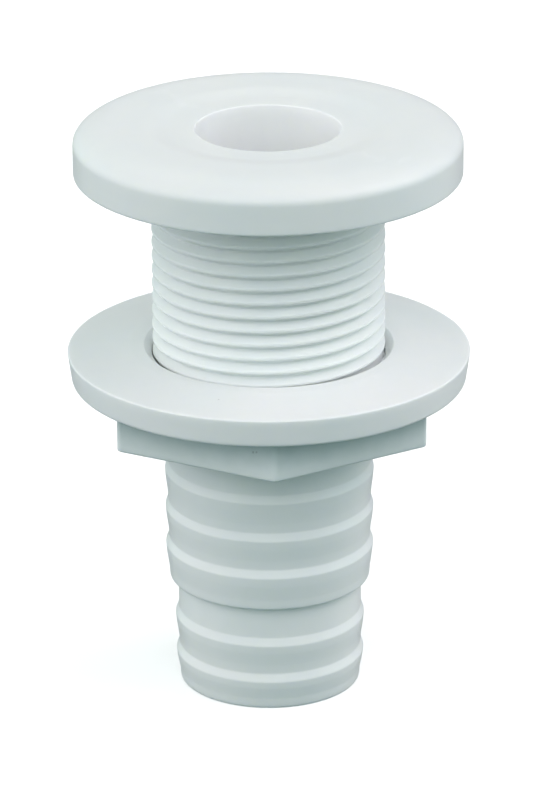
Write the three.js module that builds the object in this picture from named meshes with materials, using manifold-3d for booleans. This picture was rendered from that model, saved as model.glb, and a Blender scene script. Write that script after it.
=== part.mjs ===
// Thru hull fitting, moulded white plastic: a flanged body with a full depth
// screw thread and a two size hose tail, a backing washer, and the hex nut
// that clamps a hull between the washer and the flange.
//
// Millimetres. +Z runs up the axis from the end of the hose tail to the flange.
// The origin is the centre of the tail's end face.
import * as THREE from "three";
import { mergeVertices } from "three/addons/utils/BufferGeometryUtils.js";
import Module from "manifold-3d";

// ---- Driving dimensions ----

// Screw thread: right hand, 12 turns to the inch, 60 degree flanks.
const PITCH = 25.4 / 12;
const THREAD_CREST_R = 17.15;
const THREAD_ROOT_R = 15.85;
const THREAD_CREST_FLAT = 0.36;
const FLANK_SLOPE = Math.tan(Math.PI / 6); // axial over radial, each flank
const THREAD_END_Z = 39.0; // lower end of the threaded shank
const THREAD_LEAD_IN = 1.3; // chamfer on the first thread
const RIDGE_REF_Z = 73.98; // height of a ridge's middle on the -Y side
const STEPS_PER_TURN = 36;

// Plain collar where the thread runs out under the flange.
const COLLAR_R = 17.3;
const COLLAR_BOTTOM_Z = 79.0;

// Flange head.
const FLANGE_R = 28.48;
const FLANGE_UNDER_Z = 79.8;
const FLANGE_TOP_Z = 86.95;
const FLANGE_EDGE_BREAK = 0.28;
const FLANGE_ROUND_RADIAL = 5.85; // the rounding is wide and low
const FLANGE_ROUND_AXIAL = 3.0;
const FLANGE_ROUND_FULLNESS = 2.5; // 2 would be an ellipse, more is fuller
const DISH_RIM_R = 19.0; // the face sinks gently from here
const DISH_FLOOR_R = 13.3; // to the flat floor round the water way
const DISH_FLOOR_Z = 86.5;

// Water way: a slight draft, wider at the flange.
const BORE_TOP_R = 10.67;
const BORE_TAIL_R = 10.25;
const BORE_EDGE = 0.3;

// Hose tail. Each ridge is a slow rise towards the flange and a short
// shoulder that faces the flange: [crest z, crest radius, radius above it].
const TAIL_END_R = 13.44;
const TAIL_END_BREAK = 0.35;
const SHOULDER = 1.25; // axial length of a ridge's shoulder
const SMALL_RIDGES = [
  [4.45, 14.05, 13.6],
  [10.26, 14.13, 13.66],
];
const STEP_Z = 16.53; // where the tail steps up to the larger hose size
const STEP_R = 14.9;
const LARGE_RIDGES = [
  [21.73, 15.48, 15.0],
  [27.63, 15.51, 15.1],
  [33.6, 15.55, 15.1],
];

// Backing washer.
const WASHER_HOLE_R = 17.45;
const WASHER_SINK_R = 18.45; // countersink on the hull side of the hole
const WASHER_SINK_DEPTH = 1.1;
const WASHER_BOTTOM_Z = 48.07;
const WASHER_RIM_TOP_Z = 52.35;
const WASHER_LAND_Z = 53.14; // flat land round the hole
const WASHER_LAND_R = 20.5;
const WASHER_TOP_R = 29.73;
const WASHER_BOTTOM_R = 29.11;

// Hex nut.
const NUT_ACROSS_FLATS = 45.2;
const NUT_CORNER_R = 0.9;
const NUT_BOTTOM_Z = 41.3;
const NUT_TOP_Z = 47.77; // 0.3 under the washer
const NUT_CORNER_AZIMUTH = -88.2; // degrees, one corner, counted from +X
const NUT_THREAD_CLEARANCE = 0.2; // radial
const NUT_FLANK_CLEARANCE = 0.139; // axial, each flank
const NUT_COUNTERSINK = 0.8;

// Facets round the turned shapes.
const SHANK_FACETS = STEPS_PER_TURN;
const HEAD_FACETS = 72;
const WASHER_FACETS = 72;

// ---- Solids ----

const wasm = await Module();
wasm.setup();

const solidOf = (geometry) => {
  const g = geometry.clone();
  g.deleteAttribute("normal");
  g.deleteAttribute("uv");
  const merged = mergeVertices(g, 1e-4);
  return new wasm.Manifold(
    new wasm.Mesh({
      numProp: 3,
      vertProperties: merged.attributes.position.array,
      triVerts: new Uint32Array(merged.index.array),
    }),
  );
};

const geometryOf = (solid) => {
  const m = solid.getMesh();
  const n = m.numProp;
  const v = new Float32Array(m.numVert * 3);
  for (let i = 0; i < m.numVert; i++)
    v.set(m.vertProperties.subarray(i * n, i * n + 3), i * 3);
  const g = new THREE.BufferGeometry()
    .setAttribute("position", new THREE.BufferAttribute(v, 3))
    .setIndex(new THREE.BufferAttribute(new Uint32Array(m.triVerts), 1));
  g.computeVertexNormals();
  return g;
};

// A profile of [radius, z] turned about Z. The outside runs upwards.
const turned = (profile, facets) => {
  const g = new THREE.LatheGeometry(
    profile.map(([r, z]) => new THREE.Vector2(r, z)),
    facets,
  );
  g.rotateX(Math.PI / 2);
  return solidOf(g);
};

// The path of a thread: it stays on the axis and its frame turns about it, so a
// section of [radius, height] sweeps out a true helix. It runs downwards.
class ThreadPath extends THREE.Curve {
  constructor(topTurn, turns) {
    super();
    this.topTurn = topTurn;
    this.turns = turns;
  }
  turnAt(t) {
    return this.topTurn - t * this.turns;
  }
  getPoint(t, target = new THREE.Vector3()) {
    return target.set(0, 0, RIDGE_REF_Z + PITCH * this.turnAt(t));
  }
  getUtoTmapping(u) {
    return u;
  }
  computeFrenetFrames(segments) {
    const tangents = [];
    const normals = [];
    const binormals = [];
    for (let i = 0; i <= segments; i++) {
      const a = -Math.PI / 2 + 2 * Math.PI * this.turnAt(i / segments);
      normals.push(new THREE.Vector3(Math.cos(a), Math.sin(a), 0));
      binormals.push(new THREE.Vector3(0, 0, 1));
      tangents.push(new THREE.Vector3(Math.sin(a), -Math.cos(a), 0));
    }
    return { tangents, normals, binormals };
  }
}

// One thread ridge, a truncated V between two radii, its foot sunk to innerR.
const ridge = (rootR, crestR, crestHalf, innerR, topTurn, turns) => {
  const footHalf = crestHalf + (crestR - rootR) * FLANK_SLOPE;
  const section = new THREE.Shape(
    [
      [innerR, -footHalf],
      [rootR, -footHalf],
      [crestR, -crestHalf],
      [crestR, crestHalf],
      [rootR, footHalf],
      [innerR, footHalf],
    ].map(([r, h]) => new THREE.Vector2(r, h)),
  );
  return solidOf(
    new THREE.ExtrudeGeometry(section, {
      extrudePath: new ThreadPath(topTurn, turns),
      steps: turns * STEPS_PER_TURN,
    }),
  );
};

// ---- Flanged body with its thread and hose tail ----

const headProfile = [
  [0, FLANGE_UNDER_Z],
  [FLANGE_R - FLANGE_EDGE_BREAK, FLANGE_UNDER_Z],
  [FLANGE_R, FLANGE_UNDER_Z + FLANGE_EDGE_BREAK],
];
const fullness = 2 / FLANGE_ROUND_FULLNESS;
for (let i = 0; i <= 7; i++) {
  const a = (i / 7) * (Math.PI / 2);
  headProfile.push([
    FLANGE_R -
      FLANGE_ROUND_RADIAL * (1 - Math.max(0, Math.cos(a)) ** fullness),
    FLANGE_TOP_Z - FLANGE_ROUND_AXIAL * (1 - Math.sin(a) ** fullness),
  ]);
}
for (let i = 0; i <= 5; i++) {
  const f = i / 5;
  headProfile.push([
    DISH_RIM_R + (DISH_FLOOR_R - DISH_RIM_R) * f,
    FLANGE_TOP_Z -
      ((FLANGE_TOP_Z - DISH_FLOOR_Z) * (1 - Math.cos(Math.PI * f))) / 2,
  ]);
}
headProfile.push([0, DISH_FLOOR_Z]);

// A ridge's slow rise from [z0, r0] to its crest, then its shoulder.
const rise = (z0, r0, [z1, r1, above]) => [
  [r0 + 0.22 * (r1 - r0), z0 + 0.3 * (z1 - z0)],
  [r0 + 0.78 * (r1 - r0), z0 + 0.72 * (z1 - z0)],
  [r1, z1],
  [above, z1 + SHOULDER],
];
const tailProfile = [
  [0, 0],
  [TAIL_END_R - TAIL_END_BREAK, 0],
  [TAIL_END_R, TAIL_END_BREAK],
];
let at = [TAIL_END_BREAK, TAIL_END_R];
for (const r of SMALL_RIDGES) {
  tailProfile.push(...rise(at[0], at[1], r));
  at = [r[0] + SHOULDER, r[2]];
}
tailProfile.push([at[1], STEP_Z], [STEP_R, STEP_Z]);
at = [STEP_Z, STEP_R];
for (const r of LARGE_RIDGES) {
  tailProfile.push(...rise(at[0], at[1], r));
  at = [r[0] + SHOULDER, r[2]];
}
tailProfile.push(
  [at[1], THREAD_END_Z - 0.6],
  [THREAD_ROOT_R, THREAD_END_Z],
  [THREAD_ROOT_R, COLLAR_BOTTOM_Z],
  [COLLAR_R, COLLAR_BOTTOM_Z + 0.35],
  [COLLAR_R, FLANGE_UNDER_Z + 0.7],
  [0, FLANGE_UNDER_Z + 0.7],
);

const boreProfile = [
  [0, -1],
  [BORE_TAIL_R + BORE_EDGE, -1],
  [BORE_TAIL_R + BORE_EDGE, 0],
  [BORE_TAIL_R, BORE_EDGE],
  [BORE_TOP_R, DISH_FLOOR_Z - BORE_EDGE],
  [BORE_TOP_R + BORE_EDGE, DISH_FLOOR_Z],
  [BORE_TOP_R + BORE_EDGE, FLANGE_TOP_Z + 1],
  [0, FLANGE_TOP_Z + 1],
];

// The ring that the thread is trimmed to: its foot carries the lead-in chamfer.
const threadLimit = turned(
  [
    [THREAD_ROOT_R - 0.9, THREAD_END_Z],
    [THREAD_ROOT_R, THREAD_END_Z],
    [THREAD_ROOT_R + THREAD_LEAD_IN + 0.2, THREAD_END_Z + THREAD_LEAD_IN + 0.2],
    [THREAD_CREST_R + 1, THREAD_END_Z + THREAD_LEAD_IN + 0.2],
    [THREAD_CREST_R + 1, FLANGE_UNDER_Z + 4.5],
    [THREAD_ROOT_R - 0.9, FLANGE_UNDER_Z + 4.5],
    [THREAD_ROOT_R - 0.9, THREAD_END_Z],
  ],
  SHANK_FACETS,
);

const bodyThread = ridge(
  THREAD_ROOT_R,
  THREAD_CREST_R,
  THREAD_CREST_FLAT / 2,
  THREAD_ROOT_R - 0.45,
  4,
  22,
).intersect(threadLimit);

const body = turned(headProfile, HEAD_FACETS)
  .add(turned(tailProfile, SHANK_FACETS))
  .add(bodyThread)
  .subtract(turned(boreProfile, SHANK_FACETS));

// ---- Backing washer ----

const washer = turned(
  [
    [WASHER_HOLE_R, WASHER_BOTTOM_Z],
    [WASHER_BOTTOM_R - 0.2, WASHER_BOTTOM_Z],
    [WASHER_BOTTOM_R, WASHER_BOTTOM_Z + 0.2],
    [WASHER_TOP_R, WASHER_RIM_TOP_Z],
    [WASHER_LAND_R, WASHER_LAND_Z],
    [WASHER_SINK_R, WASHER_LAND_Z],
    [WASHER_HOLE_R, WASHER_LAND_Z - WASHER_SINK_DEPTH],
    [WASHER_HOLE_R, WASHER_BOTTOM_Z],
  ],
  WASHER_FACETS,
);

// ---- Hex nut ----

const hexagon = new THREE.Shape();
for (let i = 0; i < 6; i++) {
  const a = THREE.MathUtils.degToRad(NUT_CORNER_AZIMUTH + 60 * i);
  const c = (NUT_ACROSS_FLATS / 2 - NUT_CORNER_R) / Math.cos(Math.PI / 6);
  hexagon.absarc(
    c * Math.cos(a),
    c * Math.sin(a),
    NUT_CORNER_R,
    a - Math.PI / 6,
    a + Math.PI / 6,
    false,
  );
}
hexagon.closePath();
const nutBlank = new THREE.ExtrudeGeometry(hexagon, {
  depth: NUT_TOP_Z - NUT_BOTTOM_Z,
  bevelEnabled: false,
  curveSegments: 4,
});
nutBlank.translate(0, 0, NUT_BOTTOM_Z);

const nutMinorR = THREAD_ROOT_R + NUT_THREAD_CLEARANCE;
const nutMajorR = THREAD_CREST_R + NUT_THREAD_CLEARANCE;
const nutHole = turned(
  [
    [0, NUT_BOTTOM_Z - 1],
    [nutMinorR + NUT_COUNTERSINK, NUT_BOTTOM_Z - 1],
    [nutMinorR + NUT_COUNTERSINK, NUT_BOTTOM_Z],
    [nutMinorR, NUT_BOTTOM_Z + NUT_COUNTERSINK],
    [nutMinorR, NUT_TOP_Z - NUT_COUNTERSINK],
    [nutMinorR + NUT_COUNTERSINK, NUT_TOP_Z],
    [nutMinorR + NUT_COUNTERSINK, NUT_TOP_Z + 1],
    [0, NUT_TOP_Z + 1],
  ],
  SHANK_FACETS,
);
const nutGroove = ridge(
  nutMinorR,
  nutMajorR,
  THREAD_CREST_FLAT / 2 + NUT_FLANK_CLEARANCE - NUT_THREAD_CLEARANCE * FLANK_SLOPE,
  nutMinorR - 0.6,
  -11,
  6,
);
const nut = solidOf(nutBlank).subtract(nutHole.add(nutGroove));

// ---- The assembly ----

const whitePlastic = (color, roughness) =>
  new THREE.MeshStandardMaterial({ color, roughness, metalness: 0 });

const fitting = new THREE.Group();

const bodyMesh = new THREE.Mesh(geometryOf(body), whitePlastic(0xe4e9e8, 0.42));
bodyMesh.name = "fitting_body";

const washerMesh = new THREE.Mesh(
  geometryOf(washer),
  whitePlastic(0xe2e6e6, 0.48),
);
washerMesh.name = "backing_washer";

const nutMesh = new THREE.Mesh(geometryOf(nut), whitePlastic(0xdfe5e4, 0.48));
nutMesh.name = "hex_nut";

// The nut carries the washer along the thread, so they share a group.
const clampStack = new THREE.Group();
clampStack.add(washerMesh, nutMesh);
fitting.add(bodyMesh, clampStack);

export default fitting;
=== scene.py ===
"""Looks of the thru hull fitting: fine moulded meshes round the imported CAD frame."""

import math

import bmesh
import bpy
import numpy as np
from mathutils import Matrix, Quaternion, Vector


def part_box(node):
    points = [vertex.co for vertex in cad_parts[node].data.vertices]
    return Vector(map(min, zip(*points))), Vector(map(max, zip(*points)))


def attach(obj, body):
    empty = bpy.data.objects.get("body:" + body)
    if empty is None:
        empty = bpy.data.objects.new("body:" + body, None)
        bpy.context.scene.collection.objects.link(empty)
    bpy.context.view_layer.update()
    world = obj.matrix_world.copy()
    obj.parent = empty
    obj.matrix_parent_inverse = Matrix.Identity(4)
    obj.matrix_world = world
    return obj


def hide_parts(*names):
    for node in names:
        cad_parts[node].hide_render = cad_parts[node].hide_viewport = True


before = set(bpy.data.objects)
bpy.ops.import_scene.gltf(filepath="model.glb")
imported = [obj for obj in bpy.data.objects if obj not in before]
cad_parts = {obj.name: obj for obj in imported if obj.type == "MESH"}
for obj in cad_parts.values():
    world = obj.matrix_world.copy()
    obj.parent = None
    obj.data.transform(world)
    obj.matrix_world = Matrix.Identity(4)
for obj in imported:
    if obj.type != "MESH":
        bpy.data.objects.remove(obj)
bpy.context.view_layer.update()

MM = 0.001

# ---------------------------------------------------------------- dimensions, mm
# The same driving dimensions as the CAD part. Heights that can be read from the
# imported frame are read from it, so the looks follow the CAD.
body_lo, body_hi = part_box("fitting_body")
wash_lo, wash_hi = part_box("backing_washer")
nut_lo, nut_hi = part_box("hex_nut")

PITCH = 25.4 / 12
CREST_R, ROOT_R = 17.15, 15.85
CREST_FLAT = 0.36
FLANK = math.tan(math.pi / 6)
RIDGE_REF_Z = 73.98
THREAD_END_Z, LEAD_IN = 39.0, 1.3
COLLAR_R, COLLAR_BOTTOM_Z = 17.3, 79.0

FLANGE_R = body_hi[0] / MM
FLANGE_UNDER_Z = 79.8
FLANGE_TOP_Z = body_hi[2] / MM
ROUND_RADIAL, ROUND_AXIAL, ROUND_FULLNESS = 5.85, 2.8, 2.2
DISH_RIM_R, DISH_FLOOR_R, DISH_FLOOR_Z = 18.3, 14.1, 86.5
BORE_TOP_R, BORE_TAIL_R = 10.67, 10.25

TAIL_END_R = 13.44
SHOULDER = 1.25
SMALL_RIDGES = [(4.45, 14.05, 13.6), (10.26, 14.13, 13.66)]
STEP_Z, STEP_R = 16.53, 14.9
LARGE_RIDGES = [(21.73, 15.48, 15.0), (27.63, 15.51, 15.1), (33.6, 15.55, 15.1)]

# the washer's hole is drawn close to the thread, as the real one runs;
# the CAD solid keeps a wider gap
WASHER_HOLE_R = 17.22
WASHER_SINK_R, WASHER_SINK_DEPTH = 18.45, 1.1
WASHER_BOTTOM_Z = wash_lo[2] / MM
WASHER_RIM_TOP_Z = 52.35
WASHER_LAND_Z, WASHER_LAND_R = wash_hi[2] / MM, 20.5
WASHER_TOP_R = wash_hi[0] / MM
WASHER_BOTTOM_R = 29.11

NUT_AF, NUT_CORNER_R = 45.2, 0.9
NUT_BOTTOM_Z, NUT_TOP_Z = nut_lo[2] / MM, nut_hi[2] / MM
NUT_CORNER_AZ = -88.2
NUT_CLEAR_R, NUT_CLEAR_FLANK, NUT_SINK = 0.2, 0.139, 0.8


# ---------------------------------------------------------------- mesh helpers
def rounded(points, closed=True):
    """A polyline of (r, z[, radius[, segments]]) with its corners filleted."""
    out = []
    n = len(points)
    for i, p in enumerate(points):
        here = Vector(p[:2])
        radius = p[2] if len(p) > 2 else 0.0
        steps = p[3] if len(p) > 3 else 5
        ends = not closed and i in (0, n - 1)
        if radius <= 0 or ends:
            out.append((here.x, here.y))
            continue
        a = Vector(points[i - 1][:2]) - here
        b = Vector(points[(i + 1) % n][:2]) - here
        la, lb = a.length, b.length
        a.normalize()
        b.normalize()
        half = math.acos(max(-1.0, min(1.0, a.dot(b)))) / 2
        if half > math.pi / 2 - 1e-3:
            out.append((here.x, here.y))
            continue
        t = min(radius / math.tan(half), 0.48 * la, 0.48 * lb)
        r = t * math.tan(half)
        middle = (a + b).normalized()
        centre = here + middle * (r / math.sin(half))
        start = here + a * t - centre
        end = here + b * t - centre
        turn = math.atan2(start.cross(end), start.dot(end))
        for k in range(steps + 1):
            f = turn * k / steps
            c, s = math.cos(f), math.sin(f)
            out.append(
                (
                    centre.x + start.x * c - start.y * s,
                    centre.y + start.x * s + start.y * c,
                )
            )
    return out


def densify(line, closed=True, near=0.22, step=1.6):
    """Holding rings close to each corner of a long stretch, and even steps along it, so that smooth shading stays true."""
    out = []
    n = len(line)
    for i in range(n if closed else n - 1):
        a, b = np.array(line[i]), np.array(line[(i + 1) % n])
        out.append(tuple(a))
        length = float(np.hypot(*(b - a)))
        if length > 3 * near:
            inner = [near / length]
            k = int((length - 2 * near) // step)
            inner += [
                (near + (length - 2 * near) * (j + 1) / (k + 1)) / length
                for j in range(k)
            ]
            inner.append(1 - near / length)
            out += [tuple(a + (b - a) * f) for f in inner]
    if not closed:
        out.append(tuple(line[-1]))
    return out


def made(name, verts, faces):
    """A mesh object from arrays, in millimetres, with its faces turned outwards."""
    mesh = bpy.data.meshes.new(name)
    mesh.from_pydata([tuple(map(float, v)) for v in verts], [], faces)
    mesh.validate()
    bm = bmesh.new()
    bm.from_mesh(mesh)
    bmesh.ops.recalc_face_normals(bm, faces=bm.faces)
    if bm.calc_volume(signed=True) < 0:
        bmesh.ops.reverse_faces(bm, faces=bm.faces)
    bm.to_mesh(mesh)
    bm.free()
    obj = bpy.data.objects.new(name, mesh)
    bpy.context.scene.collection.objects.link(obj)
    return obj


def turned(name, profile, n=160, outline=None, azimuths=None):
    """A closed profile of (r, z) turned about Z. outline(azimuth, r, z) may move the radius."""
    az = (
        azimuths
        if azimuths is not None
        else [-math.pi / 2 + 2 * math.pi * i / n for i in range(n)]
    )
    n, m = len(az), len(profile)
    verts, faces = [], []
    for a in az:
        c, s = math.cos(a), math.sin(a)
        for r, z in profile:
            q = outline(a, r, z) if outline else r
            verts.append((q * c, q * s, z))
    for i in range(n):
        k = (i + 1) % n
        for j in range(m):
            l = (j + 1) % m
            faces.append((i * m + j, k * m + j, k * m + l, i * m + l))
    return made(name, verts, faces)


def threaded_ring(name, section, inner_r, low_turn, turns, n=160):
    """A closed ring whose outside is a helical surface: one pitch of (r, height) samples swept upwards, each turn welded to the last."""
    m = len(section) - 1
    total = turns * n
    index, verts = {}, []

    def put(key, r, a, z):
        if key not in index:
            index[key] = len(verts)
            verts.append((r * math.cos(a), r * math.sin(a), z))
        return index[key]

    def outer(k, j):
        if j == m and k + n <= total:
            k, j = k + n, 0
        a = -math.pi / 2 + 2 * math.pi * k / n
        r, h = section[j]
        return put(("o", k, j), r, a, RIDGE_REF_Z + PITCH * (low_turn + k / n) + h)

    def inner(k, j):
        if j == 1 and k + n <= total:
            k, j = k + n, 0
        a = -math.pi / 2 + 2 * math.pi * k / n
        h = section[0][1] + j * PITCH
        return put(
            ("i", k, j), inner_r, a, RIDGE_REF_Z + PITCH * (low_turn + k / n) + h
        )

    faces = []
    for k in range(total):
        for j in range(m):
            faces.append((outer(k, j), outer(k + 1, j), outer(k + 1, j + 1), outer(k, j + 1)))
        faces.append((inner(k, 0), inner(k, 1), inner(k + 1, 1), inner(k + 1, 0)))
    for k in range(n):
        faces.append((outer(k, 0), inner(k, 0), inner(k + 1, 0), outer(k + 1, 0)))
        t = total - n + k
        faces.append((outer(t, m), outer(t + 1, m), inner(t + 1, 1), inner(t, 1)))
    faces.append(tuple([inner(0, 0)] + [outer(0, j) for j in range(m + 1)] + [inner(0, 1)]))
    faces.append(
        tuple([inner(total, 1)] + [outer(total, j) for j in range(m, -1, -1)] + [inner(total, 0)])
    )
    return made(name, verts, faces)


def boolean(a, b, operation):
    """a joined with, cut by or kept inside b, which is used up."""
    m = a.modifiers.new("cut", "BOOLEAN")
    m.solver, m.operation, m.object = "MANIFOLD", operation, b
    bpy.context.view_layer.update()
    got = bpy.data.meshes.new_from_object(
        a.evaluated_get(bpy.context.evaluated_depsgraph_get())
    )
    a.modifiers.remove(m)
    old = a.data
    a.data = got
    bpy.data.meshes.remove(old)
    mesh = b.data
    bpy.data.objects.remove(b)
    bpy.data.meshes.remove(mesh)
    if not len(a.data.polygons):
        raise RuntimeError(f"the boolean on {a.name} left nothing")
    return a


def finished(obj, sharp=38.0):
    """Millimetres to metres, smooth shading with true edges kept."""
    obj.data.transform(Matrix.Scale(MM, 4))
    bm = bmesh.new()
    bm.from_mesh(obj.data)
    bmesh.ops.dissolve_degenerate(bm, dist=2e-7, edges=bm.edges)
    limit = math.radians(sharp)
    for f in bm.faces:
        f.smooth = True
    for e in bm.edges:
        e.smooth = not (len(e.link_faces) == 2 and e.calc_face_angle(0.0) > limit)
    bm.to_mesh(obj.data)
    bm.free()
    w = obj.modifiers.new("weighted", "WEIGHTED_NORMAL")
    w.mode, w.weight, w.keep_sharp = "FACE_AREA", 50, True
    bpy.context.view_layer.update()
    got = bpy.data.meshes.new_from_object(
        obj.evaluated_get(bpy.context.evaluated_depsgraph_get())
    )
    obj.modifiers.remove(w)
    old = obj.data
    obj.data = got
    bpy.data.meshes.remove(old)
    obj.data.name = obj.name
    return obj


def thread_section(root_r, crest_r, crest_half, root_round, crest_round, steps=4):
    """One pitch of thread, from the middle of a root to the middle of the next, counted from a ridge's middle."""
    foot = crest_half + (crest_r - root_r) * FLANK
    half = PITCH / 2
    return densify(
        rounded(
            [
                (root_r, -half),
                (root_r, -foot, root_round, steps),
                (crest_r, -crest_half, crest_round, steps),
                (crest_r, crest_half, crest_round, steps),
                (root_r, foot, root_round, steps),
                (root_r, half),
            ],
            closed=False,
        ),
        closed=False,
        near=0.12,
        step=0.6,
    )


# ---------------------------------------------------------------- the flanged body
def body_piece():
    head = []
    steps = 28
    full = 2 / ROUND_FULLNESS
    for i in range(steps + 1):
        a = i / steps * math.pi / 2
        head.append(
            (
                FLANGE_R - ROUND_RADIAL * (1 - max(0.0, math.cos(a)) ** full),
                FLANGE_TOP_Z - ROUND_AXIAL * (1 - math.sin(a) ** full),
            )
        )

    dip = FLANGE_TOP_Z - DISH_FLOOR_Z
    for i in range(25):
        f = i / 24
        head.append(
            (
                DISH_RIM_R + (DISH_FLOOR_R - DISH_RIM_R) * f,
                FLANGE_TOP_Z - dip * (1 - math.cos(math.pi * f)) / 2,
            )
        )

    def ridge(z0, r0, z1, r1, above):
        """A slow rise to the crest, its shoulder, and the soft foot of the shoulder."""
        return [
            (r0 + 0.22 * (r1 - r0), z0 + 0.3 * (z1 - z0), 3.0),
            (r0 + 0.78 * (r1 - r0), z0 + 0.72 * (z1 - z0), 3.0),
            (r1, z1, 0.7, 6),
            (above, z1 + SHOULDER, 0.8, 6),
        ]

    tail = [(TAIL_END_R - 0.05, 0.0, 0.4, 5)]
    z, r = 0.45, TAIL_END_R
    tail.append((TAIL_END_R + 0.02, 0.6, 0.0))
    for z1, r1, above in SMALL_RIDGES:
        tail += ridge(z, r, z1, r1, above)
        z, r = z1 + SHOULDER, above
    tail += [(r, STEP_Z, 0.12, 3), (STEP_R, STEP_Z, 0.28, 4)]
    z, r = STEP_Z, STEP_R
    for z1, r1, above in LARGE_RIDGES:
        tail += ridge(z, r, z1, r1, above)
        z, r = z1 + SHOULDER, above
    core = ROOT_R - 0.75
    outside = (
        tail
        + [
            (core, z + 2.0),
            (core, COLLAR_BOTTOM_Z - 0.2),
            (COLLAR_R, COLLAR_BOTTOM_Z + 0.35, 0.2, 4),
            (COLLAR_R, FLANGE_UNDER_Z, 0.25, 4),
            (FLANGE_R - 0.02, FLANGE_UNDER_Z, 0.3, 5),
        ]
        + head
        + [
            (BORE_TOP_R, DISH_FLOOR_Z, 0.16, 4),
            (BORE_TAIL_R, 0.0, 0.3, 4),
        ]
    )
    body = turned("moulded_body", densify(rounded(outside)))
    rod = threaded_ring(
        "rod",
        thread_section(ROOT_R, CREST_R, CREST_FLAT / 2, 0.16, 0.14),
        ROOT_R - 1.6,
        -18,
        22,
    )
    limit = turned(
        "limit",
        [
            (ROOT_R - 1.9, THREAD_END_Z),
            (ROOT_R - 0.2, THREAD_END_Z),
            (CREST_R + 0.3, THREAD_END_Z + LEAD_IN + 0.4),
            (CREST_R + 0.3, FLANGE_UNDER_Z + 1.0),
            (ROOT_R - 1.9, FLANGE_UNDER_Z + 1.0),
        ],
    )
    rod = boolean(rod, limit, "INTERSECT")
    body = boolean(body, rod, "UNION")
    return finished(body)


# ---------------------------------------------------------------- the washer
def washer_piece():
    profile = rounded(
        [
            (WASHER_HOLE_R, WASHER_BOTTOM_Z, 0.25, 4),
            (WASHER_BOTTOM_R, WASHER_BOTTOM_Z, 0.45, 5),
            (WASHER_TOP_R, WASHER_RIM_TOP_Z, 0.22, 5),
            (WASHER_LAND_R, WASHER_LAND_Z, 3.0, 4),
            (WASHER_SINK_R, WASHER_LAND_Z, 0.25, 5),
            (WASHER_HOLE_R, WASHER_LAND_Z - WASHER_SINK_DEPTH, 0.25, 4),
        ]
    )
    return finished(turned("washer_disc", densify(profile), n=240))


# ---------------------------------------------------------------- the nut
def nut_piece():
    centre = (NUT_AF / 2 - NUT_CORNER_R) / math.cos(math.pi / 6)
    corner0 = math.radians(NUT_CORNER_AZ)

    def hexagon(a, inset):
        """Radius of the rounded hexagon at azimuth a, its sides moved in by inset."""
        t = (a - corner0 + math.pi / 6) % (math.pi / 3) - math.pi / 6  # from a corner
        t = abs(t)
        rc = NUT_CORNER_R - inset
        # straight flat: distance AF/2 - inset along the flat's normal, 30 degrees away
        flat = (NUT_AF / 2 - inset) / math.cos(math.pi / 6 - t)
        # corner arc about (centre, 0)
        disc = rc * rc - (centre * math.sin(t)) ** 2
        if disc >= 0:
            arc = centre * math.cos(t) + math.sqrt(disc)
            px, py = arc * math.cos(t) - centre, arc * math.sin(t)
            if math.atan2(py, px) <= math.pi / 6 + 1e-9:
                return arc
        return flat

    azimuths = []
    for c in range(6):
        base = corner0 + c * math.pi / 3
        near = [math.radians(d) for d in (-1.6, -1.25, -1.0, -0.8, -0.55, -0.28, 0, 0.28, 0.55, 0.8, 1.0, 1.25, 1.6)]
        far = [math.radians(d) for d in (3, 6, 10, 15, 20, 25, 30, 35, 40, 45, 50, 54, 57)]
        azimuths += [base + d for d in near + far]

    edge = 0.35
    levels = []
    k = 4
    for i in range(k + 1):
        f = i / k * math.pi / 2
        levels.append((edge * (1 - math.sin(f)), NUT_BOTTOM_Z + edge * (1 - math.cos(f))))
    levels.append((0.0, NUT_BOTTOM_Z + 0.6))
    levels.append((0.0, (NUT_BOTTOM_Z + NUT_TOP_Z) / 2))
    levels.append((0.0, NUT_TOP_Z - 0.5))
    for i in range(k + 1):
        f = i / k * math.pi / 2
        levels.append((0.25 * (1 - math.cos(f)), NUT_TOP_Z - 0.25 * (1 - math.sin(f))))
    hole = ROOT_R - 0.85
    inner = [21.5, 20.0, 18.6]
    profile, insets = [], []
    profile.append((hole, NUT_BOTTOM_Z))
    insets.append(None)
    for r in reversed(inner):
        profile.append((r, NUT_BOTTOM_Z))
        insets.append(None)
    for inset, z in levels:
        profile.append((100.0 + inset, z))
    for r in inner:
        profile.append((r, NUT_TOP_Z))
    profile.append((hole, NUT_TOP_Z))

    def outline(a, r, z):
        return hexagon(a, r - 100.0) if r >= 100.0 else r

    nut = turned("clamp_nut", profile, outline=outline, azimuths=azimuths)
    root, crest = ROOT_R + NUT_CLEAR_R, CREST_R + NUT_CLEAR_R
    tap = threaded_ring(
        "tap",
        thread_section(
            root, crest, CREST_FLAT / 2 + NUT_CLEAR_FLANK - NUT_CLEAR_R * FLANK, 0.08, 0.16
        ),
        ROOT_R - 1.4,
        -18,
        7,
    )
    nut = boolean(nut, tap, "DIFFERENCE")
    for z0, z1 in ((NUT_BOTTOM_Z, NUT_BOTTOM_Z + NUT_SINK), (NUT_TOP_Z, NUT_TOP_Z - NUT_SINK)):
        out = z0 + (z0 - z1)
        cone = turned(
            "cone",
            [
                (ROOT_R - 1.4, out),
                (root + 2 * NUT_SINK, out),
                (root, z1),
                (ROOT_R - 1.4, z1),
            ],
        )
        nut = boolean(nut, cone, "DIFFERENCE")
    return finished(nut)


body = body_piece()
washer = washer_piece()
nut = nut_piece()

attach(body, "fitting")
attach(washer, "washer")
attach(nut, "nut")
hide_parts("fitting_body")
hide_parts("backing_washer")
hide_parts("hex_nut")


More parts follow.
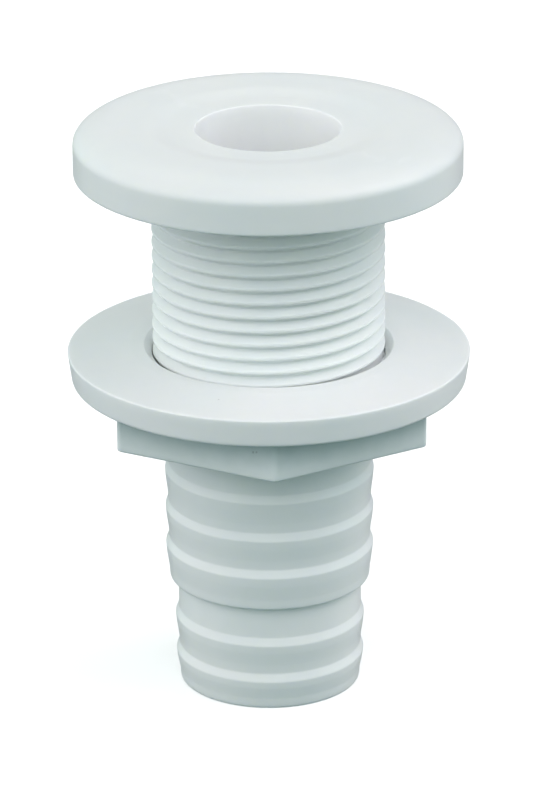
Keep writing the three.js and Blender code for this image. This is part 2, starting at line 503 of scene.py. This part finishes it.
# ---------------------------------------------------------------- materials
def plastic(name, base, roughness, seed, grain=1.0, marks=(), glow_radius=None, washer_shade_heights=None):
    """Moulded white plastic: a faint mottle and flow marks in the colour, a fine
    satin grain and a slight waviness in the surface, and softened, slightly
    polished edges. marks are small specks: (x, y, z, radius) in metres. The argument
    after marks is a radius inside which the colour is painted paler: painted light for
    the light that comes through the wall there. The last argument is a pair of heights:
    painted shade greys the plastic towards the second of them, where the washer's shadow falls."""
    mat = bpy.data.materials.new(name)
    mat.use_nodes = True
    nt = mat.node_tree
    nodes, links = nt.nodes, nt.links
    nodes.clear()
    out = nodes.new("ShaderNodeOutputMaterial")
    bsdf = nodes.new("ShaderNodeBsdfPrincipled")
    links.new(bsdf.outputs["BSDF"], out.inputs["Surface"])
    bsdf.inputs["IOR"].default_value = 1.5
    # light enters the white plastic and comes out a little under a millimetre away
    bsdf.inputs["Subsurface Weight"].default_value = 1.0
    bsdf.inputs["Subsurface Radius"].default_value = (1.0, 1.0, 0.92)
    bsdf.inputs["Subsurface Scale"].default_value = 0.00075
    bsdf.inputs["Specular IOR Level"].default_value = 0.5
    coord = nodes.new("ShaderNodeTexCoord")
    shift = nodes.new("ShaderNodeMapping")
    shift.inputs["Location"].default_value = (seed * 0.37, seed * 0.11, seed * 0.23)
    links.new(coord.outputs["Object"], shift.inputs["Vector"])

    def noise(scale, detail=2.0, rough=0.5, vector=None, distortion=0.0):
        n = nodes.new("ShaderNodeTexNoise")
        n.inputs["Scale"].default_value = scale
        n.inputs["Detail"].default_value = detail
        n.inputs["Roughness"].default_value = rough
        n.inputs["Distortion"].default_value = distortion
        links.new((vector or shift.outputs["Vector"]), n.inputs["Vector"])
        return n.outputs["Fac"]

    def remap(value, a, b, c, d):
        m = nodes.new("ShaderNodeMapRange")
        m.inputs["From Min"].default_value = a
        m.inputs["From Max"].default_value = b
        m.inputs["To Min"].default_value = c
        m.inputs["To Max"].default_value = d
        links.new(value, m.inputs["Value"])
        return m.outputs["Result"]

    def math_node(op, a, b):
        m = nodes.new("ShaderNodeMath")
        m.operation = op
        for i, v in enumerate((a, b)):
            if isinstance(v, (int, float)):
                m.inputs[i].default_value = v
            else:
                links.new(v, m.inputs[i])
        return m.outputs[0]

    def mix(fac, a, b, blend="MIX"):
        m = nodes.new("ShaderNodeMix")
        m.data_type = "RGBA"
        m.blend_type = blend
        for sock, v in ((m.inputs["Factor"], fac), (m.inputs[6], a), (m.inputs[7], b)):
            if isinstance(v, (int, float)):
                sock.default_value = v
            elif isinstance(v, tuple):
                sock.default_value = (*v, 1.0) if len(v) == 3 else v
            else:
                links.new(v, sock)
        return m.outputs[2]

    # colour: broad mottle, plus streaks along the flow of the melt (up the axis)
    stretch = nodes.new("ShaderNodeMapping")
    stretch.inputs["Scale"].default_value = (1.0, 1.0, 0.16)
    links.new(shift.outputs["Vector"], stretch.inputs["Vector"])
    cloud = noise(70.0, 3.0, 0.55)
    streak = noise(260.0, 2.0, 0.5, stretch.outputs["Vector"], 0.4)
    warm = tuple(min(1.0, c * k) for c, k in zip(base, (1.012, 1.004, 0.994)))
    cool = tuple(c * k for c, k in zip(base, (0.975, 0.985, 0.99)))
    colour = mix(remap(cloud, 0.3, 0.7, 0.0, 1.0), cool, warm)
    colour = mix(
        remap(streak, 0.35, 0.75, 0.0, 0.10), colour, tuple(c * 0.93 for c in base)
    )
    # edges rub a little brighter
    geo = nodes.new("ShaderNodeNewGeometry")
    edge = remap(geo.outputs["Pointiness"], 0.505, 0.56, 0.0, 1.0)
    rub = math_node("MULTIPLY", edge, remap(noise(600.0, 2.0), 0.35, 0.65, 0.15, 1.0))
    colour = mix(math_node("MULTIPLY", rub, 0.35), colour, tuple(min(0.97, c * 1.05) for c in base))
    # painted light: inside the given radius the colour is paler, for light coming through the wall
    if glow_radius:
        flat = nodes.new("ShaderNodeVectorMath")
        flat.operation = "MULTIPLY"
        flat.inputs[1].default_value = (1.0, 1.0, 0.0)
        links.new(coord.outputs["Object"], flat.inputs[0])
        reach = nodes.new("ShaderNodeVectorMath")
        reach.operation = "LENGTH"
        links.new(flat.outputs["Vector"], reach.inputs[0])
        inside = remap(reach.outputs["Value"], glow_radius, glow_radius + 0.00012, 1.0, 0.0)
        colour = mix(inside, colour, (0.955, 0.978, 0.98))
    # painted shade: the colour darkens towards the upper height, the washer's shadow on the nut's sides
    if washer_shade_heights:
        split = nodes.new("ShaderNodeSeparateXYZ")
        links.new(coord.outputs["Object"], split.inputs[0])
        height = math_node(
            "ADD", split.outputs["Z"], remap(noise(420.0, 3.0), 0.3, 0.7, -0.0004, 0.0004)
        )
        washer_shade = remap(height, washer_shade_heights[0], washer_shade_heights[1], 0.0, 0.85)
        colour = mix(washer_shade, colour, tuple(c * k for c, k in zip(base, (0.58, 0.66, 0.66))))
    # specks
    for x, y, z, radius in marks:
        sub = nodes.new("ShaderNodeVectorMath")
        sub.operation = "DISTANCE"
        sub.inputs[1].default_value = (x, y, z)
        wob = nodes.new("ShaderNodeTexNoise")
        wob.inputs["Scale"].default_value = 1800.0
        links.new(coord.outputs["Object"], wob.inputs["Vector"])
        links.new(coord.outputs["Object"], sub.inputs[0])
        d = math_node("ADD", sub.outputs["Value"], remap(wob.outputs["Fac"], 0.3, 0.7, -radius * 0.5, radius * 0.5))
        spot = remap(d, radius * 0.45, radius * 1.1, 0.6, 0.0)
        colour = mix(spot, colour, tuple(c * 0.45 for c in base))
    links.new(colour, bsdf.inputs["Base Color"])

    # roughness: satin, a bit glossier where handled
    fine = noise(2600.0, 2.0, 0.6)
    patch = noise(120.0, 2.0, 0.5)
    rough = math_node(
        "ADD",
        remap(patch, 0.3, 0.7, roughness - 0.05, roughness + 0.05),
        remap(fine, 0.3, 0.7, -0.03, 0.03),
    )
    rough = math_node("SUBTRACT", rough, math_node("MULTIPLY", rub, 0.08))
    links.new(rough, bsdf.inputs["Roughness"])

    # surface: waviness of the moulding, then the fine satin grain
    wave = nodes.new("ShaderNodeBump")
    wave.inputs["Strength"].default_value = 0.25
    wave.inputs["Distance"].default_value = 0.0002
    links.new(noise(210.0, 2.0, 0.5), wave.inputs["Height"])
    micro = nodes.new("ShaderNodeBump")
    micro.inputs["Strength"].default_value = 0.22 * grain
    micro.inputs["Distance"].default_value = 0.00003
    links.new(noise(3400.0, 3.0, 0.6), micro.inputs["Height"])
    links.new(wave.outputs["Normal"], micro.inputs["Normal"])
    links.new(micro.outputs["Normal"], bsdf.inputs["Normal"])
    return mat


body.data.materials.clear()
body.data.materials.append(
    plastic(
        "white_body",
        (0.86, 0.885, 0.88),
        0.40,
        1.0,
        marks=[(0.01736, -0.00053, 0.08677, 0.00017), (0.0181, 0.0062, 0.0868, 0.00012)],
        # painted light inside the waterway
        glow_radius=(BORE_TOP_R + 0.02) * MM,
    )
)
washer.data.materials.clear()
washer.data.materials.append(
    plastic(
        "white_washer",
        # paler than the body's same plastic: painted light on the washer
        (0.91, 0.935, 0.932),
        0.46,
        2.0,
        marks=[(-0.00727, -0.02243, 0.05288, 0.00014)],
    )
)
nut.data.materials.clear()
nut.data.materials.append(
    plastic(
        "white_nut",
        # darker than the body's same plastic: painted shade, for the washer's shadow on the nut
        (0.79, 0.83, 0.83),
        0.46,
        3.0,
        marks=[(-0.00184, -0.02465, 0.04553, 0.00028), (-0.00232, -0.02442, 0.0455, 0.00018)],
        # painted shade under the washer, from 42.5 mm up to the nut's top
        washer_shade_heights=(0.0425, 0.0478),
    )
)


# ---------------------------------------------------------------- stage, light, camera
def floor_piece():
    size = 3.0
    mesh = bpy.data.meshes.new("floor")
    z = -0.00002
    mesh.from_pydata(
        [(-size, -size, z), (size, -size, z), (size, size, z), (-size, size, z)], [], [(0, 1, 2, 3)]
    )
    obj = bpy.data.objects.new("floor", mesh)
    bpy.context.scene.collection.objects.link(obj)
    mat = bpy.data.materials.new("floor_pale")
    mat.use_nodes = True
    b = mat.node_tree.nodes["Principled BSDF"]
    b.inputs["Base Color"].default_value = (0.9, 0.9, 0.9, 1)
    b.inputs["Roughness"].default_value = 0.9
    b.inputs["Specular IOR Level"].default_value = 0.0
    mesh.materials.append(mat)
    return obj


floor = floor_piece()
# The studio lights the floor and the fitting throws its shadow on it, but the
# floor doesn't hide the light that comes from below, as a lit glass table doesn't.
floor.visible_diffuse = False
floor.visible_glossy = False
floor.visible_transmission = False
floor.visible_shadow = False

# a white wall far round the stage, which only the camera sees, from low angles
wall_mesh = bpy.data.meshes.new("far_wall")
ring = [(2.9 * math.cos(math.tau * i / 64), 2.9 * math.sin(math.tau * i / 64)) for i in range(64)]
wall_mesh.from_pydata(
    [(x, y, z) for z in (-0.00002, 4.0) for x, y in ring],
    [],
    [(i, (i + 1) % 64, 64 + (i + 1) % 64, 64 + i) for i in range(64)],
)
wall = bpy.data.objects.new("far_wall", wall_mesh)
bpy.context.scene.collection.objects.link(wall)
wall_mat = bpy.data.materials.new("far_white")
wall_mat.use_nodes = True
wall_nodes = wall_mat.node_tree.nodes
wall_nodes.clear()
glow = wall_nodes.new("ShaderNodeEmission")
glow.inputs["Color"].default_value = (1.0, 1.0, 1.0, 1.0)
glow.inputs["Strength"].default_value = 1.0
wall_out = wall_nodes.new("ShaderNodeOutputMaterial")
wall_mat.node_tree.links.new(glow.outputs["Emission"], wall_out.inputs["Surface"])
wall_mesh.materials.append(wall_mat)
wall.visible_diffuse = False
wall.visible_glossy = False
wall.visible_transmission = False
wall.visible_shadow = False

# The studio: soft lobes of light round the whole sphere, brightest from the front
# and above. Each is (azimuth from the front, + to the right; elevation; colour).
LOBE_POWER = 10.0
LOBES = [
    (0, 40, (1.377, 1.409, 1.567)),
    (-45, 40, (1.806, 1.740, 1.564)),
    (45, 40, (0.493, 0.512, 0.600)),
    (90, 40, (2.635, 2.273, 2.260)),
    (180, 40, (0.393, 0.602, 0.556)),
    (0, 12, (0.534, 0.728, 0.577)),
    (-45, 12, (0.234, 0.337, 0.461)),
    (-90, 12, (1.613, 1.536, 1.722)),
    (90, 12, (0.702, 1.167, 1.196)),
    (-135, 12, (0.987, 1.319, 1.186)),
    (135, 12, (0.467, 0.512, 0.588)),
    (180, 12, (0.385, 0.326, 0.372)),
    (-60, -20, (0.000, 0.074, 0.000)),
    (-120, -20, (0.252, 0.300, 0.297)),
    (120, -20, (0.715, 0.691, 0.651)),
    (0, -70, (0.063, 0.355, 0.390)),
]
AMBIENT = (0.000, 0.000, 0.000)
FLOOR_WATTS = 40.0


def towards(azimuth, elevation):
    a, e = math.radians(azimuth), math.radians(elevation)
    return Vector((math.sin(a) * math.cos(e), -math.cos(a) * math.cos(e), math.sin(e)))


def studio(lobes, ambient, power):
    """A world of soft light lobes that depends on the direction alone."""
    world = bpy.data.worlds.new("studio")
    bpy.context.scene.world = world
    world.use_nodes = True
    nodes, links = world.node_tree.nodes, world.node_tree.links
    nodes.clear()
    out = nodes.new("ShaderNodeOutputWorld")
    background = nodes.new("ShaderNodeBackground")
    coord = nodes.new("ShaderNodeTexCoord")
    total = None
    for azimuth, elevation, colour in lobes:
        dot = nodes.new("ShaderNodeVectorMath")
        dot.operation = "DOT_PRODUCT"
        dot.inputs[1].default_value = towards(azimuth, elevation)
        links.new(coord.outputs["Generated"], dot.inputs[0])
        front = nodes.new("ShaderNodeMath")
        front.operation = "MAXIMUM"
        front.inputs[1].default_value = 0.0
        links.new(dot.outputs["Value"], front.inputs[0])
        lobe = nodes.new("ShaderNodeMath")
        lobe.operation = "POWER"
        lobe.inputs[1].default_value = power
        links.new(front.outputs[0], lobe.inputs[0])
        tint = nodes.new("ShaderNodeVectorMath")
        tint.operation = "MULTIPLY_ADD"
        tint.inputs[1].default_value = colour
        links.new(lobe.outputs[0], tint.inputs[0])
        if total is None:
            tint.inputs[2].default_value = ambient
        else:
            links.new(total, tint.inputs[2])
        total = tint.outputs["Vector"]
    links.new(total, background.inputs["Color"])
    links.new(background.outputs["Background"], out.inputs["Surface"])
    return world


studio(LOBES, AMBIENT, LOBE_POWER)

# a wide lamp for the floor alone, so that the floor stays pale and even
wash_data = bpy.data.lights.new("floor_wash", "AREA")
wash_data.shape = "DISK"
wash_data.size = 3.0
wash_data.energy = FLOOR_WATTS
wash = bpy.data.objects.new("floor_wash", wash_data)
wash.location = (0, 0, 2.5)
bpy.context.scene.collection.objects.link(wash)
only = bpy.data.collections.new("floor_only")
only.objects.link(floor)
wash.light_linking.receiver_collection = only
# nothing stands in this lamp's way, so the shadow on the floor is the studio's own
wash.light_linking.blocker_collection = only

ELEVATION, DISTANCE = math.radians(21.322), 0.8181
ROLL = math.radians(-0.244)
cam_data = bpy.data.cameras.new("camera")
cam = bpy.data.objects.new("camera", cam_data)
bpy.context.scene.collection.objects.link(cam)
cam_data.sensor_width = 36.0
cam_data.lens = 248.5
cam_data.clip_start, cam_data.clip_end = 0.01, 20.0
back = Vector((0, -math.cos(ELEVATION), math.sin(ELEVATION)))
cam.location = Vector((0, 0, 0.04393)) + back * DISTANCE
look = back.to_track_quat("Z", "Y")
right, up = look @ Vector((1, 0, 0)), look @ Vector((0, 1, 0))
target = Vector((0, 0, 0.04393)) - right * 0.000163 + up * 0.000074
look = (cam.location - target).to_track_quat("Z", "Y")
cam.rotation_mode = "QUATERNION"
cam.rotation_quaternion = look @ Quaternion((0, 0, 1), ROLL)
bpy.context.scene.camera = cam
bpy.context.scene.view_settings.view_transform = "Standard"
bpy.context.scene.view_settings.look = "None"
